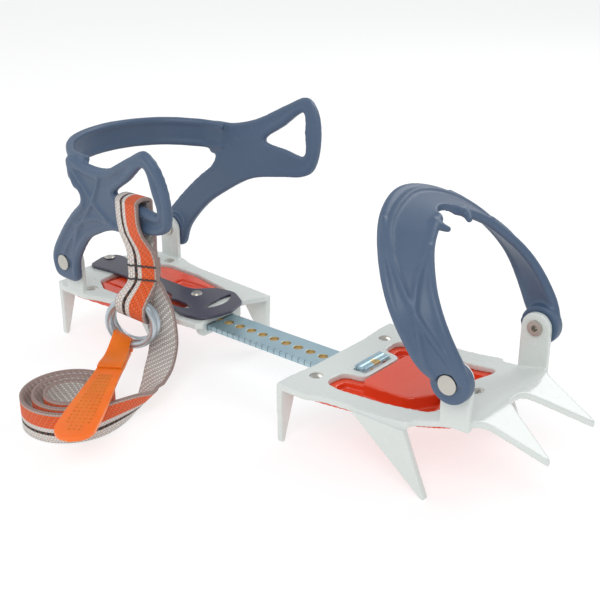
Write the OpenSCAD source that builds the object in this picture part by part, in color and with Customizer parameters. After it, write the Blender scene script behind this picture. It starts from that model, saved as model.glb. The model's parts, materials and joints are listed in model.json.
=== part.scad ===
// Ten-point walking crampon with a plastic toe bail, a plastic heel harness and a strap.
// +X points to the toe, +Z up, the spikes stand on z = 0.

/* [Toe plate] */
// X of the toe plate's rear edge
toe_x = 30; // [20:1:40]
// Height of the toe plate's top face above the spike tips
toe_top = 30; // [28:1:36]
// Thickness of the spiked plates
steel_t = 3; // [2.5:0.1:3.2]
// Radius of the upward curve of the toe plate
rocker_r = 180; // [150:5:260]

/* [Heel plate] */
// X of the heel plate's front edge
heel_x = -38; // [-42:1:-34]
// Height of the heel plate's top face
heel_top = 33; // [32:1:36]

/* [Linking bar] */
// Width of the bar
bar_w = 20; // [18:0.5:22]
// Thickness of the bar
bar_t = 3; // [2.5:0.1:3.2]
// Distance between two size holes
hole_pitch = 8; // [7:0.5:9]
// Diameter of a size hole
hole_d = 4.6; // [4.2:0.1:5]

/* [Harnesses] */
// Wall of the moulded harnesses
wall = 4; // [3:0.2:4.6]
// Outward lean of the heel harness's sides, in degrees
lean = 9; // [6:1:11]
// How far the near eyelet hangs below the far one
droop = 10; // [0:1:12]

/* [Strap] */
// Width of the webbing
strap_w = 15; // [14:0.5:16]
// Thickness of the webbing
strap_t = 1.6; // [1.2:0.1:2]
// Outside diameter of a ring
ring_d = 27.6; // [26:0.2:30]
// Thickness of the ring wire
wire_d = 3.6; // [3:0.2:4.4]

/* [Hidden] */
$fn = 48;
fit = 0.05;                            // running clearance round a pin
deep = 60;                             // longer than any cut
STEEL = "#cfd6d1";
RED = "#d23a1c";
BLUE = "#4e6283";
ZINC = "#a3c0ca";
NAVY = "#34384e";
NICKEL = "#9c9a90";
ORANGE = "#f0701a";
WEB = "#b9b4ae";

// Outlines with rounded corners ------------------------------------------------------------
function unit(v) = v / norm(v);
function turn(a) = a > 180 ? a - 360 : a < -180 ? a + 360 : a;
function corner(a, p, c) =
    p[2] == 0 ? [[p[0], p[1]]] :
    let (b = [p[0], p[1]], u = unit([a[0], a[1]] - b), v = unit([c[0], c[1]] - b),
         half = acos(max(-1, min(1, u * v))) / 2,
         back = min(p[2] / tan(half), 0.49 * norm([a[0], a[1]] - b), 0.49 * norm([c[0], c[1]] - b)),
         r = back * tan(half), m = b + unit(u + v) * r / sin(half),
         s = b + u * back - m, e = b + v * back - m,
         a0 = atan2(s[1], s[0]), sweep = turn(atan2(e[1], e[0]) - a0))
    [for (i = [0:5]) m + r * [cos(a0 + sweep * i / 5), sin(a0 + sweep * i / 5)]];
function rounded(p) = [for (i = [0:len(p) - 1])
    each corner(p[(i + len(p) - 1) % len(p)], p[i], p[(i + 1) % len(p)])];
// A half outline, listed from the rear middle to the front middle at +Y, made whole
function both(h) = concat(h, [for (i = [len(h) - 1:-1:0]) if (h[i][1] > 0.01) [h[i][0], -h[i][1], h[i][2]]]);

// Toe plate ---------------------------------------------------------------------------------
flat_end = 38;                         // where the rocker curve starts, from the rear edge
dip_start = 90;                        // where the front points turn down
point_slope = 0.42;                    // fall of a front point for each millimetre forward
crest = 10;                            // length over which rise turns into fall
function rise(x) = x <= flat_end ? 0 : rocker_r - sqrt(pow(rocker_r, 2) - pow(x - flat_end, 2));
function slope(x) = (x - flat_end) / sqrt(pow(rocker_r, 2) - pow(x - flat_end, 2));
function toe_z(x) =
    x <= dip_start ? rise(x) :
    let (d = min(x - dip_start, crest), s = slope(dip_start), k = (s + point_slope) / crest)
    rise(dip_start) + s * d - k * d * d / 2 - point_slope * max(0, x - dip_start - crest);
toe_stations = concat([-6, flat_end], [for (x = [46:8:86]) x], [for (x = [dip_start:2:dip_start + crest]) x], [130]);
// A slab that follows the plate's side curve, from lo to hi above its top face
module toe_slab(lo, hi) {
    rotate([90, 0, 0]) linear_extrude(130, center = true)
        polygon(concat([for (x = toe_stations) [x, toe_z(x) + hi]],
                       [for (i = [len(toe_stations) - 1:-1:0]) [toe_stations[i], toe_z(toe_stations[i]) + lo]]));
}
module toe_layer(outline, lo, hi) {
    intersection() {
        translate([0, 0, -deep / 2]) linear_extrude(deep) polygon(outline);
        toe_slab(lo, hi);
    }
}
toe_outline = rounded(both([[1.5, 0, 0], [1.5, 18, 20], [0, 32, 12], [0, 44, 0], [8, 45, 3], [16, 44.9, 10],
    [25, 41, 12], [38, 39.6, 8], [40, 40.5, 2], [68, 40.5, 4], [70, 37, 3], [80, 34.4, 4], [92, 33.6, 4],
    [98, 27.5, 12], [123.4, 21.6, 1], [124, 20, 0.8], [122.6, 19, 1], [103, 9, 8], [96.5, 5, 5], [96, 0, 0]]));
toe_opening = rounded(both([[27.5, 0, 0], [27.5, 14, 4], [17, 16, 4], [15.5, 29, 6], [25, 31, 20],
    [38, 29.5, 20], [60, 27.5, 30], [76, 27, 6], [69.5, 12, 10], [68.5, 0, 0]]));
bail_x = 87;                           // bail pivot from the rear edge
bail_z = 26.5;                           // bail pivot above the plate's top face
lug_in = 31.4;                         // Y of the lugs' inner faces
lug_w = 14;
rivet_r = 2.5;
// A spike in its own plane: root along X from 0 to root, tip at x = tip, height below the root
module spike(root, tip, h, thick = steel_t) {
    rotate([90, 0, 0]) linear_extrude(thick, center = true)
        polygon(rounded([[0, 0, 0], [root, 0, 0], [tip + 1.2, -h, 0.6], [tip - 1.2, -h, 0.6]]));
}
module lug(w, h, base) {
    difference() {
        rotate([90, 0, 0]) linear_extrude(steel_t) union() {
            translate([0, h]) circle(w / 2);
            translate([-w / 2, base]) square([w, h - base]);
        }
        translate([0, 1, h]) rotate([90, 0, 0]) cylinder(r = rivet_r + fit, h = steel_t + 2);
    }
}
module toe_plate() {
    color(STEEL) translate([toe_x, 0, toe_top]) difference() {
        union() {
            difference() {
                toe_layer(toe_outline, -steel_t, 0);
                toe_layer(toe_opening, -steel_t - 1, 1);
            }
            for (s = [-1, 1]) {
                translate([steel_t / 2, s * 44.6, -1]) rotate([0, 0, -90 * s])
                    spike(12, 1.4, toe_top - 1);
                translate([40, s * 40.5, -1]) mirror([0, s > 0 ? 1 : 0, 0]) spike(28, 39, toe_top - 1);
                translate([bail_x, s * (lug_in + (s > 0 ? steel_t : 0)), 0]) lug(lug_w, bail_z, toe_z(bail_x) - 3);
            }
        }
        translate([17.5, -10.4, -5]) cube([7.5, 20.8, 10]);
        for (s = [-1, 1]) translate([9, s * 27, -5]) cylinder(r = 1.6, h = 10);
        translate([78, 0, -5]) cylinder(r = 1.6, h = 20);
    }
}
toe_tray = rounded(both([[28.5, 0, 0], [28.5, 15, 4], [18, 17, 4], [16.5, 28, 5], [25, 30, 20],
    [38, 28.5, 20], [60, 26.5, 30], [74, 26, 5], [68.5, 12, 10], [67.5, 0, 0]]));
toe_floor = rounded(both([[30, 0, 0], [30, 16.5, 3], [20, 18.5, 3], [19, 26, 4], [25, 28, 20],
    [38, 26.7, 20], [60, 24.6, 30], [70, 24, 4], [66, 12, 10], [65, 0, 0]]));
toe_platform = rounded([[28.6, -16, 1], [31, -20, 2], [56, -20, 6], [64, -10, 8], [64, 10, 8], [56, 20, 6],
    [31, 20, 2], [28.6, 16, 1]]);
toe_flange = rounded(both([[4, 0, 0], [4, 32, 6], [8, 41.6, 3], [22, 40.4, 8], [38, 37.6, 6], [70, 34.4, 6],
    [84, 31.8, 6], [93, 25, 6], [92, 0, 0]]));
module toe_antiball_plate() {
    color(RED) translate([toe_x, 0, toe_top]) {
        difference() {
            union() {
                difference() {
                    toe_layer(toe_flange, -steel_t - 1.5, -steel_t);
                    toe_layer(toe_tray, -steel_t - 3, 0);
                }
                difference() {
                    toe_layer(toe_tray, -7.5, -steel_t);
                    toe_layer(toe_floor, -6, 0);
                }
            }
            for (s = [-1, 1]) translate([9, s * 27, -9]) cylinder(r = 1.6, h = 8);
            translate([78, 0, -9]) cylinder(r = 1.6, h = 20);
            translate([10, -11, -8]) cube([17.4, 22, 8]);
        }
        toe_layer(toe_platform, -7, 0.4);
    }
}
// A rivet with a domed head up and a flat head down, through a stack from lo to hi
module rivet(lo, hi, head = 3.1, shank = 1.6) {
    translate([0, 0, lo - 0.8]) cylinder(r = head - 0.4, h = 0.8);
    translate([0, 0, lo - 0.4]) cylinder(r = shank, h = hi - lo + 0.8);
    translate([0, 0, hi]) intersection() {
        cylinder(r = head, h = 1.1);
        translate([0, 0, 1.1 - 5.2]) sphere(5.2);
    }
}
module toe_antiball_rivets() {
    color(NICKEL) translate([toe_x, 0, toe_top]) {
        for (s = [-1, 1]) translate([9, s * 27, 0]) rivet(-steel_t - 1.5, 0);
        translate([78, 0, toe_z(78)]) rotate([0, -atan(slope(78)), 0]) rivet(-steel_t - 1.9, 0.1);
    }
}

// Toe bail ----------------------------------------------------------------------------------
// Middle of the wall along the rear and the front edge, from a pivot to the top, in X, |Y|, Z
bail_rear = [[110, 40.4, 56], [103.2, 45, 67.5], [92.2, 45.6, 85.5], [80.2, 36.5, 101.5], [69.4, 20.5, 112.8],
             [64.3, 0, 117.4]];
bail_front = [[127.2, 37.4, 56], [118.8, 39.9, 70], [110.2, 38.4, 83], [102, 32.3, 94], [93, 19.5, 105.5],
              [87.5, 0, 112]];
bail_px = toe_x + bail_x;
bail_pz = toe_top + bail_z;
eye_in = lug_in + steel_t + 0.3;       // Y of the eyes' inner faces
eye_w = 5.6;
function mirrored(p) = concat([for (q = p) [q[0], -q[1], q[2]]], [for (i = [len(p) - 2:-1:0]) p[i]]);
function between(a, b, c, d, t) =
    b + t * ((c - a) / 2 + t * (a - 2.5 * b + 2 * c - d / 2 + t * (1.5 * (b - c) + (d - a) / 2)));
// A smooth curve through the points of p, four steps between each two
function smooth(p) = concat([for (i = [0:len(p) - 2], k = [0:3])
    between(p[max(i - 1, 0)], p[i], p[i + 1], p[min(i + 2, len(p) - 1)], k / 4)], [p[len(p) - 1]]);
function along(p, i) = unit(p[min(i + 1, len(p) - 1)] - p[max(i - 1, 0)]);
// A band between two edge curves, wall thick, as one closed skin
module band(a, b, thick) {
    n = len(a);
    out = [for (i = [0:n - 1]) unit(cross(along(a, i) + along(b, i), b[i] - a[i])) * thick / 2];
    points = concat([for (i = [0:n - 1]) each [a[i] + out[i], b[i] + out[i], b[i] - out[i], a[i] - out[i]]]);
    sides = [for (i = [0:n - 2], j = [0:3]) let (k = (j + 1) % 4, p = 4 * i + j, q = 4 * i + k)
             each [[p, q, q + 4], [p, q + 4, p + 4]]];
    polyhedron(points, concat(sides, [[0, 3, 2], [0, 2, 1]],
               [[4 * n - 4, 4 * n - 3, 4 * n - 2], [4 * n - 4, 4 * n - 2, 4 * n - 1]]));
}
module toe_bail() {
    color(BLUE) difference() {
        union() {
            band(smooth(mirrored(bail_rear)), smooth(mirrored(bail_front)), wall);
            for (s = [-1, 1]) translate([bail_px, s * eye_in, bail_pz]) rotate([-90 * s, 0, 0])
                cylinder(r = 9, h = eye_w);
        }
        translate([bail_px, 0, bail_pz]) rotate([90, 0, 0]) cylinder(r = rivet_r, h = 100, center = true);
        for (s = [-1, 1]) translate([bail_px, s * (eye_in + eye_w), bail_pz]) rotate([-90 * s, 0, 0])
            cylinder(r = 4.6, h = 6);
        translate([bail_px - 12, -eye_in, bail_pz - 12]) cube([24, 2 * eye_in, 20]);
        translate([90.5, 0, 95]) cylinder(r = 7.2, h = 30);
        translate([84, -8.5, 95]) cube([5, 17, 30]);
    }
}
module side_rivets(x, z, inner, outer) {
    for (s = [-1, 1]) translate([x, s * inner, z]) rotate([-90 * s, 0, 0]) {
        translate([0, 0, -1]) difference() {
            cylinder(r = 3.6, h = 0.9);
            translate([0, 0, -1]) cylinder(r = 1.5, h = 3);
        }
        difference() {
            translate([0, 0, -0.5]) cylinder(r = rivet_r, h = outer - inner + 0.6);
            translate([0, 0, -2]) cylinder(r = 1.5, h = 4);
        }
        translate([0, 0, outer - inner]) cylinder(r = 4.2, h = 1.1);
    }
}
module toe_bail_rivets() {
    color(NICKEL) side_rivets(bail_px, bail_pz, lug_in, eye_in + eye_w);
}

// Linking bar -------------------------------------------------------------------------------
bar_top = toe_top - 5.5;
bar_end = -120;                        // rear end of the bar
first_hole = 21.3;                     // X of the size hole nearest the toe
module linking_bar() {
    color(ZINC) difference() {
        union() {
            translate([bar_end, -bar_w / 2, bar_top - bar_t]) cube([toe_x + 18 - bar_end, bar_w, bar_t]);
            translate([toe_x + 18, -bar_w / 2, bar_top - bar_t]) cube([bar_t, bar_w, 10.5]);
            translate([toe_x + 18, -bar_w / 2, toe_top + 0.2]) cube([6.2, bar_w, 1.4]);
        }
        for (i = [0:16]) translate([first_hole - i * hole_pitch, 0, bar_top - bar_t - 1])
            cylinder(d = hole_d, h = bar_t + 2);
    }
}

// Heel plate --------------------------------------------------------------------------------
heel_pivot_x = -86.4;                  // harness pivot from the front edge
heel_pivot_z = 18;                     // harness pivot above the plate's top face
heel_lug_in = 33.7;
front_lift = 4;                        // the heel's front spikes end this far above the rear ones
heel_outline = rounded(both([[-111, 0, 0], [-111, 17, 10], [-105, 21, 6], [-104, 33, 4], [-97, 37.4, 5],
    [-78, 37.4, 5], [-70, 34.3, 8], [-58, 32, 20], [-2, 27, 1.5], [0, 24, 1], [-5, 14, 6], [-8, 0, 0]]));
heel_opening = rounded(both([[-90, 0, 0], [-90, 8, 5], [-88, 18, 5], [-76, 25, 8], [-52, 24, 16],
    [-22, 17.5, 4], [-25, 0, 0]]));
module heel_prism(outline, lo, hi) {
    translate([0, 0, lo]) linear_extrude(hi - lo) polygon(outline);
}
module heel_plate() {
    guide_w = bar_w + 0.6;
    color(STEEL) translate([heel_x, 0, heel_top]) difference() {
        union() {
            difference() {
                heel_prism(heel_outline, -steel_t, 0);
                heel_prism(heel_opening, -steel_t - 1, 1);
            }
            for (s = [-1, 1]) {
                translate([-105.5, s * 32.8, -1]) rotate([0, 0, -90 * s]) spike(12, 1.4, heel_top - 1);
                translate([s > 0 ? -24 : -46, s * (s > 0 ? 27.2 : 28.6), -1]) mirror([0, s > 0 ? 1 : 0, 0])
                    spike(s > 0 ? 23.5 : 24, 21, heel_top - 1 - front_lift);
                translate([heel_pivot_x, s * (heel_lug_in + (s > 0 ? steel_t : 0)), 0])
                    lug(lug_w, heel_pivot_z, -3);
            }
            translate([-14, 0, -2]) rotate([90, 0, 90]) linear_extrude(steel_t)
                polygon(rounded([[-16, 0, 0], [-15.5, -12.2, 4], [15.5, -12.2, 4], [16, 0, 0]]));
        }
        translate([-20, -guide_w / 2, bar_top - bar_t - 0.3 - heel_top]) cube([12, guide_w, bar_t + 0.6]);
        translate([-109, 6.5, -5]) cylinder(r = 1.6, h = 10);
        for (s = [-1, 1]) translate([-81.5, s * 29, -5]) cylinder(r = 1.6, h = 10);
    }
}
heel_flange = rounded(both([[-102, 0, 0], [-102, 26, 6], [-92, 32, 6], [-58, 29.6, 20], [-28, 26, 4], [-18, 19, 4],
    [-18, 12, 0], [-16, 12, 0], [-16, 0, 0]]));
heel_inner = rounded(both([[-100, 0, 0], [-100, 24.5, 6], [-92, 30.3, 6], [-58, 28, 20], [-28, 24.3, 4],
    [-19.5, 18, 4], [-19.5, 12, 0], [-15, 12, 0], [-15, 0, 0]]));
heel_tray = rounded(both([[-89, 0, 0], [-89, 9, 4], [-87, 17.5, 5], [-76, 24, 8], [-52, 23, 16],
    [-24, 16.6, 4], [-26, 0, 0]]));
module heel_antiball_plate() {
    color(RED) translate([heel_x, 0, heel_top]) {
        difference() {
            heel_prism(heel_flange, -steel_t - 4, -steel_t);
            heel_prism(heel_inner, -steel_t - 5, -steel_t - 1.5);
            translate([-60, -5, -7]) cube([40, 10, 6]);
            for (s = [-1, 1]) translate([-81.5, s * 29, -9]) cylinder(r = 1.6, h = 10);
        }
        difference() {
            heel_prism(heel_tray, -steel_t, -1.4);
            translate([-100, -16, -4]) cube([90, 32, 4]);
        }
        difference() {
            translate([-84, -15, -steel_t]) cube([28, 30, steel_t - 0.8]);
            translate([-86, -10.4, -8]) cube([90, 20.8, 4.5]);
        }
    }
}
module heel_antiball_rivets() {
    color(NICKEL) translate([heel_x, 0, heel_top])
        for (s = [-1, 1]) translate([-81.5, s * 29, 0]) rivet(-steel_t - 1.5, 0);
}

// Size lever --------------------------------------------------------------------------------
lever_t = 1.6;
pin_x = first_hole - 11 * hole_pitch;  // the pin stands in the twelfth size hole
pin_end = bar_top - bar_t + 1;
lever_outline = rounded([[-114, 5, 6], [-111, 13.6, 7], [-104, 13.8, 8], [-78, 5.5, 30], [-58, 4.2, 20],
    [-36, 3.2, 10], [-27, 13.5, 10], [-15, 15.5, 10], [-2, 8, 8], [2, -4, 10], [-1, -22, 12], [-15, -24.5, 14],
    [-30, -19.5, 10],
    [-38, -8.4, 10], [-60, -7, 30], [-92, -7, 30], [-100, -7.8, 10], [-109, -8.8, 5]]);
module crescent(from, to, r_in, r_out) {
    steps = 10;
    polygon(concat([for (i = [0:steps]) let (a = from + (to - from) * i / steps) r_out * [cos(a), sin(a)]],
        [for (i = [steps:-1:0]) let (a = from + (to - from) * i / steps) (r_in + (r_out - r_in) * 0.9
         * pow(abs(2 * i / steps - 1), 3)) * [cos(a), sin(a)]]));
}
module size_lever() {
    color(NAVY) translate([heel_x, 0, heel_top]) difference() {
        translate([0, 0, 0.1]) linear_extrude(lever_t) difference() {
            polygon(lever_outline);
            translate([-25.3, -1.6]) {
                crescent(-35, 50, 11, 17);
                crescent(-130, -60, 11, 17);
            }
            translate([pin_x - heel_x, 0]) circle(1.55);
        }
        translate([-109, 6.5, -1]) cylinder(r = 1.75, h = 5);
    }
}
module lever_pivot_rivet() {
    color(NICKEL) translate([heel_x - 109, 6.5, heel_top]) rivet(-steel_t, lever_t + 0.55);
}
module locking_pin() {
    color(NICKEL) translate([pin_x, 0, 0]) {
        translate([0, 0, pin_end]) cylinder(r = hole_d / 2 - 0.3, h = heel_top + 0.1 - pin_end);
        translate([0, 0, heel_top]) cylinder(r = 1.5, h = lever_t + 0.5);
        translate([0, 0, heel_top + 0.1 + lever_t]) cylinder(r1 = 3.1, r2 = 2.5, h = 0.9);
    }
}

// Heel harness ------------------------------------------------------------------------------
harness_px = heel_x + heel_pivot_x;
harness_pz = heel_top + heel_pivot_z;
harness_in = heel_lug_in + steel_t + 0.3;
junction = 27;                         // the arm, the band and the eyelet meet this far from the pivot
// One side in its own plane from the pivot: first the arm and the eyelet, then back along the window
side_outline = [[-8.5, -8.5, 8.4], [8.5, -8.5, 8.4], [12, 3, 8], [23, 17, 20], [36, 27, 20], [56, 38.5, 30],
    [88, 45.6, 20], [98, 48, 8], [102, 64, 12], [99, 79, 10], [91, 87.5, 8], [79, 82, 14], [58, 72, 24],
    [40, 67, 20], [22, 65.5, 0], [22, 48.6, 0], [31, 48.6, 4], [26, 41, 6], [17, 33.5, 20], [6.5, 23.5, 20], [-6, 9, 12]];
side_eyelet = [[89.5, 80, 4], [62, 60.6, 3], [94, 56.5, 4]];
function sag(p, by) = let (k = max(0, min(1, (p[0] - junction) / 35))) [p[0] - by * k * 0.8, p[1] - by * k, p[2]];
module side_plate(by) {
    linear_extrude(wall) difference() {
        polygon(rounded([for (p = side_outline) sag(p, by)]));
        polygon(rounded([for (p = side_eyelet) sag(p, by)]));
    }
}
band_rx = 37;
band_ry = 47;
function oval(rx, ry, n = 24) = [for (i = [0:n]) let (a = 90 + 180 * i / n) [rx * cos(a), ry * sin(a)]];
module heel_harness() {
    color(BLUE) translate([harness_px, 0, harness_pz]) difference() {
        union() {
            for (s = [-1, 1]) mirror([0, s > 0 ? 1 : 0, 0]) {
                translate([0, -harness_in, -8.5]) rotate([lean, 0, 0]) translate([0, 0, 8.5])
                    rotate([90, 0, 0]) side_plate(s < 0 ? droop : 0);
                translate([0, -harness_in, 0]) rotate([90, 0, 0]) cylinder(r = 8.4, h = wall + 1);
            }
            translate([junction, 0, 49.6]) rotate([0, 4, 0]) linear_extrude(16) difference() {
                polygon(concat([[0.5, band_ry]], oval(band_rx, band_ry), [[0.5, -band_ry]]));
                polygon(concat([[1, band_ry - wall]], oval(band_rx - wall, band_ry - wall), [[1, wall - band_ry]]));
            }
        }
        rotate([90, 0, 0]) cylinder(r = rivet_r, h = 100, center = true);
        translate([-12, -harness_in, -12]) cube([24, 2 * harness_in, 22]);
    }
}
module heel_harness_rivets() {
    color(NICKEL) side_rivets(harness_px, harness_pz, heel_lug_in, harness_in + wall + 1);
}

// Strap, rings and pull tab -----------------------------------------------------------------
loop_x = -57.5;
loop_y = -47.3;
loop_top = 99.5;                       // middle of the fold over the eyelet's bar
loop_low = 44.6;                       // middle of the fold round the rings
swing = 26;                            // the rings face this far towards +X
slant = 18;                            // the lower fold follows the rings' wire down this far
function ease(k) = k <= 0 ? 0 : k >= 1 ? 1 : k * k * (3 - 2 * k);
// Half the gap between the strap's two layers at height z
function gap(z) = z > 72 ? 0.85 + 3.6 * ease((z - 72) / 14) : 0.85 + 4.5 * ease((58 - z) / 12);
loop_rows = concat([for (a = [0:30:180]) [4.45 * cos(a), loop_top + 2 * sin(a)]],
                   [for (z = [94, 88, 84, 80, 76, 72, 66, 60, 56, 53, 50, 47]) [-gap(z), z]],
                   [for (a = [180:30:360]) [5.35 * cos(a), loop_low + 5.35 * sin(a)]],
                   [for (z = [47, 50, 53, 56, 60, 66, 72, 76, 80, 84, 88, 94]) [gap(z), z]]);
function twist(z) = swing * ease((92 - z) / 30);
function mid_x(z) = loop_x + 2.5 * ease((94 - z) / 24) - 5.4 * ease((62 - z) / 16);
function mid_y(z) = loop_y + 1.3 * ease((94 - z) / 24) - 2.8 * ease((62 - z) / 16);
// Place of a strap point: n outward across the layers, w along the width, z up
function strap_at(n, w, z) = let (a = twist(z))
    [mid_x(z) + w * cos(a) + n * sin(a), mid_y(z) + w * sin(a) - n * cos(a),
     z - w * tan(slant) * ease((60 - z) / 14)];
module strap_loop() {
    m = len(loop_rows);
    points = [for (i = [0:m - 1]) let (p = loop_rows[i], a = loop_rows[(i + m - 1) % m], b = loop_rows[(i + 1) % m],
              t = unit(b - a), q = [t[1], -t[0]] * strap_t / 2, o = p + q, c = p - q)
        each [strap_at(o[0], -strap_w / 2, o[1]), strap_at(o[0], strap_w / 2, o[1]),
              strap_at(c[0], strap_w / 2, c[1]), strap_at(c[0], -strap_w / 2, c[1])]];
    color(ORANGE) polyhedron(points, [for (i = [0:m - 1], j = [0:3])
        let (k = (j + 1) % 4, e = (i + 1) % m, p = 4 * i, q = 4 * e)
        each [[p + j, p + k, q + k], [p + j, q + k, q + j]]]);
}
module strap_stitching() {
    color("#222222") for (z = [67, 60], n = [1.95, -3.95])
        translate(strap_at(n, 0, z)) rotate([0, 0, twist(z)]) cube([strap_w - 2, 0.6, 1], center = true);
}
coil_x = -60.3;
coil_y = -91.7;
coil_r = 25.6;
// Route of the tail: the middle of the webbing and the direction of its orange edge
tail = concat([for (z = [71, 68, 64, 61, 58]) [strap_at(-2.75, 0, z), [cos(twist(z)), sin(twist(z)), 0]]],
    [[[-57, -41.9, 54.5], [0.88, 0.48, 0]], [[-57.1, -39.7, 49.8], [0.88, 0.48, 0]],
     [[-56.7, -36.9, 42.4], [0.87, 0.5, 0]],
     [[-54.9, -36.6, 35.4], [0.87, 0.5, 0]], [[-53.7, -36.7, 28.4], [0.88, 0.48, 0]],
     [[-53.3, -37.1, 22.4], [0.87, 0.49, 0.03]], [[-51.6, -40, 17.4], [0.87, 0.48, 0.05]],
     [[-47.9, -45.8, 13.8], [0.87, 0.47, 0.1]], [[-45.2, -51.4, 10.1], [0.93, 0.26, 0.26]],
     [[-43.4, -55.8, 7.5], [0.91, 0.13, 0.39]],
     [[-41, -59.6, 6.4], [0.82, 0.06, 0.57]], [[-38.8, -62.6, 6], [0.74, 0, 0.67]],
     [[-37.4, -66.2, 6.2], [0.65, -0.07, 0.75]], [[-36.2, -72.1, 7], [0.47, -0.1, 0.87]],
     [[-35.3, -79.2, 7.6], [0.26, -0.09, 0.96]], [[-35.1, -83, 7.7], [0.16, 0, 1]]]);
module strap_tail() {
    n = len(tail);
    points = [for (i = [0:n - 1]) let (p = tail[i][0], d = unit(tail[min(i + 1, n - 1)][0] - tail[max(i - 1, 0)][0]),
              u = unit(tail[i][1] - d * (d * tail[i][1])), w = u * strap_w / 2, f = cross(d, u) * strap_t / 2)
        each [p - w + f, p + w + f, p + w - f, p - w - f]];
    color(WEB) polyhedron(points, concat([for (i = [0:n - 2], j = [0:3])
        let (k = (j + 1) % 4, p = 4 * i + j, q = 4 * i + k) each [[p, q, q + 4], [p, q + 4, p + 4]]],
        [[0, 3, 2], [0, 2, 1]], [[4 * n - 4, 4 * n - 3, 4 * n - 2], [4 * n - 4, 4 * n - 2, 4 * n - 1]]));
}
module strap_coil() {
    color(WEB) translate([coil_x, coil_y, 0]) rotate_extrude() translate([10, 0]) square([coil_r - 10, strap_w]);
}
ring_r = (ring_d - wire_d) / 2;
ring_x = -61.9;
ring_y = -49.6;
ring_z = 36;
module ring(n, dz, tilt) {             // n forward of the loop's middle, hanging back by tilt from its top
    translate([ring_x, ring_y, ring_z + dz]) rotate([0, 0, swing]) translate([0, -n, ring_r])
        rotate([tilt, 0, 0]) translate([0, 0, -ring_r]) rotate([90, 0, 0])
        rotate_extrude() translate([ring_r, 0]) circle(d = wire_d);
}
module ring_front() { color(ZINC) ring(1.9, 0, 0); }
module ring_rear() { color(ZINC) ring(-1.9, -0.4, 7); }
tab_len = 87;
tab_w = 18.3;
tab_t = 2;
tab_turn = -56;                        // direction of the tab on the ground plan
tab_fall = 2.4;                        // fall of the tab towards its free end, in degrees
hang_at = 25;                          // the tab holds the front ring this far left of its lowest point
hang = [ring_x + 1.9 * sin(swing), ring_y - 1.9 * cos(swing), ring_z]
    - ring_r * [sin(hang_at) * cos(swing), sin(hang_at) * sin(swing), cos(hang_at)];
module along_wire(r, h) {
    rotate([0, 0, swing]) rotate([0, 90 + hang_at, 0]) translate([-0.48, 0, 0])
        cylinder(r = r, h = h, center = true);
}
module pull_tab() {
    color(ORANGE) translate(hang) difference() {
        union() {
            rotate([0, tab_fall, tab_turn]) translate([0, 0, -3.8]) linear_extrude(tab_t)
                polygon(rounded([[2.9, -4.4, 0.5], [20, -6.2, 10], [50, -7.7, 20], [tab_len, -tab_w / 2, 9],
                    [tab_len, tab_w / 2, 9], [50, 7.7, 20], [20, 6.2, 10], [2.9, 4.4, 0.5]]));
            along_wire(3.9, 9.2);
        }
        along_wire(2.6, 10.4);
    }
}
module pull_tab_rivet() {
    color(NICKEL) translate(hang) rotate([0, tab_fall, tab_turn]) translate([20, 0, -3.8 + tab_t])
        cylinder(r1 = 4.2, r2 = 3.6, h = 1.2);
}

toe_plate();
toe_antiball_plate();
toe_antiball_rivets();
toe_bail();
toe_bail_rivets();
linking_bar();
heel_plate();
heel_antiball_plate();
heel_antiball_rivets();
heel_harness();
heel_harness_rivets();
size_lever();
lever_pivot_rivet();
locking_pin();
strap_loop();
strap_stitching();
strap_tail();
strap_coil();
ring_front();
ring_rear();
pull_tab();
pull_tab_rivet();
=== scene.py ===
"""Ten-point walking crampon: the moulded harnesses, the sheet metal, the webbing and the finishes."""
import json
import math

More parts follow.
